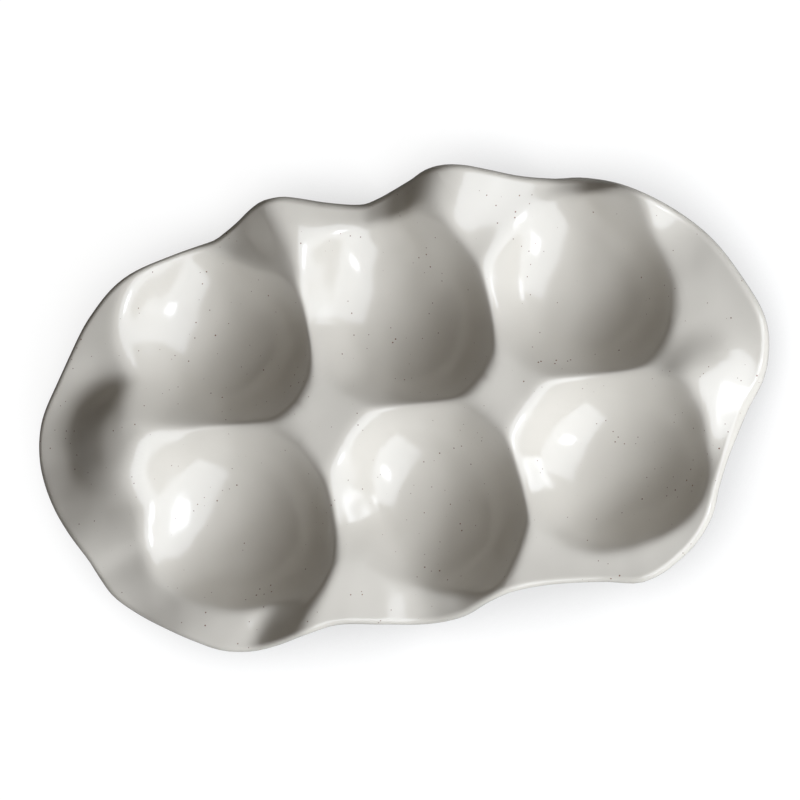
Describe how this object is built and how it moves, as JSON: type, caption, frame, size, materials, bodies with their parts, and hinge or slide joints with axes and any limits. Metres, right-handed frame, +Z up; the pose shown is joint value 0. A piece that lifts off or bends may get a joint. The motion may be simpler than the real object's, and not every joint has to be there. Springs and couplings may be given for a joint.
{
  "type": "deviled egg platter",
  "caption": "Hand-formed oval stoneware platter with round wells for egg halves, a thin wavy lip and a glossy speckled cream glaze; stands on small bare ground feet.",
  "frame": {"origin": "on the surface that the platter stands on, under the middle of its box", "axes": "+X along the rows of three wells, +Y from the front row to the back row, +Z up"},
  "size_m": [0.2636, 0.1552, 0.0328],
  "materials": {
    "stoneware": "bare fired clay, ground flat and smooth",
    "glaze": "glossy cream glaze with sparse fine brown iron specks"
  },
  "bodies": {
    "root": {"stoneware_body": "stoneware", "glaze_coat": "glaze"}
  },
  "joints": []
}
